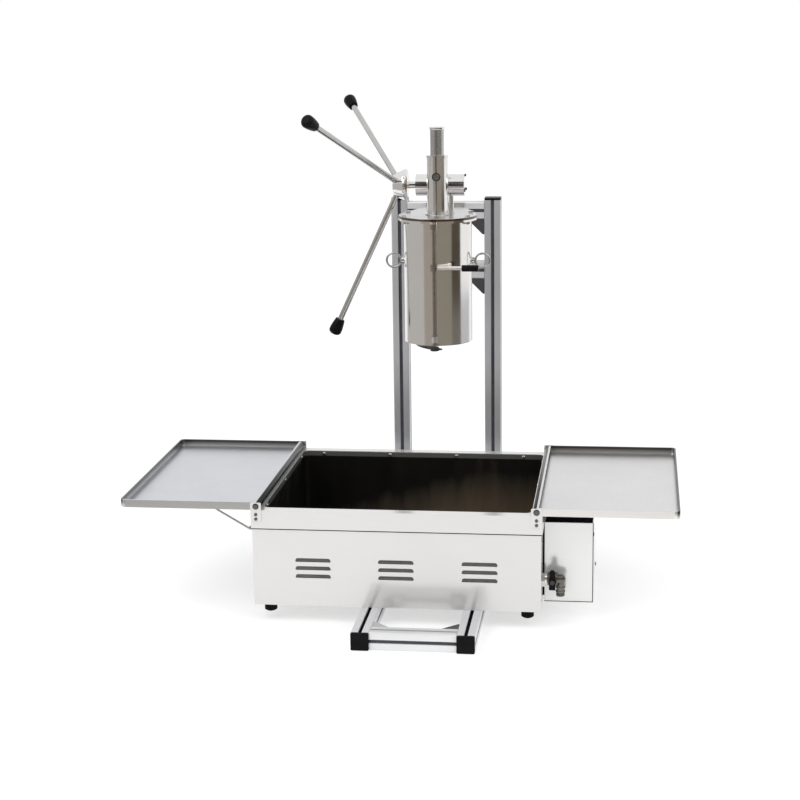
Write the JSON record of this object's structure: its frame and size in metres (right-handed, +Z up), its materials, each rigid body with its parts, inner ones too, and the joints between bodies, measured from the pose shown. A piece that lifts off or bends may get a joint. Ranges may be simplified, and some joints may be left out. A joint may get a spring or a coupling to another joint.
{
  "type": "churro maker",
  "caption": "Hand-cranked rack-and-pinion dough press with a swinging cutter, on a slotted-beam stand over an electric fryer with folding side trays.",
  "frame": {"origin": "on the floor, below the middle of the whole machine at rest", "axes": "+X to the fryer's right, along the line of the two open trays; +Y to the back, where the uprights stand; +Z up"},
  "size_m": [1.23, 0.932, 1.121],
  "materials": {
    "stainless_panel": "brushed",
    "stainless_steel": "brushed",
    "bright_steel": "polished",
    "basin_steel": "satin",
    "dark_steel": "satin",
    "anodised_alloy": "satin",
    "black_plastic": "satin",
    "black_bracket": "satin",
    "rubber": "matte",
    "brass": "satin",
    "amber_lens": "gloss"
  },
  "bodies": {
    "machine": {"foot_beam_left": "anodised_alloy", "foot_beam_right": "anodised_alloy", "front_cross_beam": "anodised_alloy", "rear_cross_beam": "anodised_alloy", "upright_left": "anodised_alloy", "upright_right": "anodised_alloy", "upper_cross_beam": "anodised_alloy", "lower_cross_beam": "anodised_alloy", "beam_end_caps": "black_plastic", "corner_gussets": "black_bracket", "gusset_screws": "bright_steel", "front_panel": "stainless_panel", "case_wrap": "stainless_panel", "base_plate": "stainless_steel", "rim_band": "stainless_panel", "oil_basin": "basin_steel", "rim_rivets": "bright_steel", "rubber_feet": "rubber", "heating_element": "dark_steel", "hinge_plates": "stainless_steel", "hinge_screws": "bright_steel", "prop_brackets": "stainless_steel", "control_box": "stainless_panel", "box_spacer": "rubber", "control_panel": "stainless_steel", "pilot_lamp": "amber_lens", "cable_gland": "black_plastic", "drain_pipe": "stainless_steel", "valve_body": "brass", "lid_plate": "stainless_steel", "head_bracket": "stainless_steel", "head_bolts": "bright_steel", "drum_casing": "stainless_steel", "dough_cylinder": "bright_steel", "die_plate": "bright_steel", "drum_saddle": "stainless_steel", "press_head": "stainless_steel", "guide_screw": "bright_steel", "shaft_bushes": "brass", "end_cover": "stainless_steel", "cover_screws": "dark_steel"},
    "crank": {"pinion_shaft": "stainless_steel", "crank_hub": "stainless_steel", "crank_spokes": "stainless_steel", "crank_knobs": "black_plastic"},
    "rack": {"rack_rod": "stainless_steel", "rack_cap": "dark_steel", "piston": "bright_steel", "piston_seal": "rubber"},
    "left_tray": {"tray_left": "stainless_panel"},
    "right_tray": {"tray_right": "stainless_panel"},
    "prop": {"tray_prop": "stainless_steel"},
    "cutter": {"cutter_rod": "bright_steel", "lever_grip": "black_plastic", "cutter_blade": "dark_steel"},
    "drain_lever": {"valve_handle": "black_plastic"},
    "heat_knob": {"thermostat_knob": "black_plastic"},
    "power_rocker": {"rocker_switch": "black_plastic"},
    "left_eye": {"eye_screw_left": "bright_steel"},
    "right_eye": {"eye_screw_right": "bright_steel"}
  },
  "joints": [
    {"name": "crank_turn", "type": "hinge", "parent": "machine", "child": "crank", "pos_m": [-0.033, 0.136, 0.926], "axis": [1, 0, 0], "range_deg": [-725, 210]},
    {"name": "rack_slide", "type": "slide", "parent": "machine", "child": "rack", "axis": [0, 0, 1], "range_m": [-0.055, 0.19]},
    {"name": "tray_left_fold", "type": "hinge", "parent": "machine", "child": "left_tray", "pos_m": [-0.308, -0.02, 0.2668], "axis": [0, 1, 0], "range_deg": [0, 180]},
    {"name": "tray_right_fold", "type": "hinge", "parent": "machine", "child": "right_tray", "pos_m": [0.308, -0.02, 0.2668], "axis": [0, -1, 0], "range_deg": [0, 180]},
    {"name": "prop_swing", "type": "hinge", "parent": "machine", "child": "prop", "pos_m": [-0.325, -0.02, 0.2105], "axis": [0, -1, 0], "range_deg": [0, 118]},
    {"name": "cutter_swing", "type": "hinge", "parent": "machine", "child": "cutter", "pos_m": [0.055, 0.0195, 0.7], "axis": [0, 0, -1], "range_deg": [0, 80]},
    {"name": "drain_turn", "type": "hinge", "parent": "machine", "child": "drain_lever", "pos_m": [0.341, -0.25, 0.101], "axis": [0, 1, 0], "range_deg": [0, 90]},
    {"name": "heat_turn", "type": "hinge", "parent": "machine", "child": "heat_knob", "pos_m": [0.37475, 0.04, 0.1805], "axis": [0, 1, 0], "range_deg": [0, 270]},
    {"name": "power_tilt", "type": "hinge", "parent": "machine", "child": "power_rocker", "pos_m": [0.35475, 0.0385, 0.1325], "axis": [1, 0, 0], "range_deg": [0, 14]},
    {"name": "eye_left_turn", "type": "hinge", "parent": "machine", "child": "left_eye", "pos_m": [-0.049, 0.11, 0.753], "axis": [-1, 0, 0], "range_deg": [0, 720]},
    {"name": "eye_right_turn", "type": "hinge", "parent": "machine", "child": "right_eye", "pos_m": [0.159, 0.11, 0.753], "axis": [1, 0, 0], "range_deg": [0, 720]}
  ],
  "couplings": [
    {"joint": "rack_slide", "follows": "crank_turn", "m_per_rad": -0.015}
  ]
}
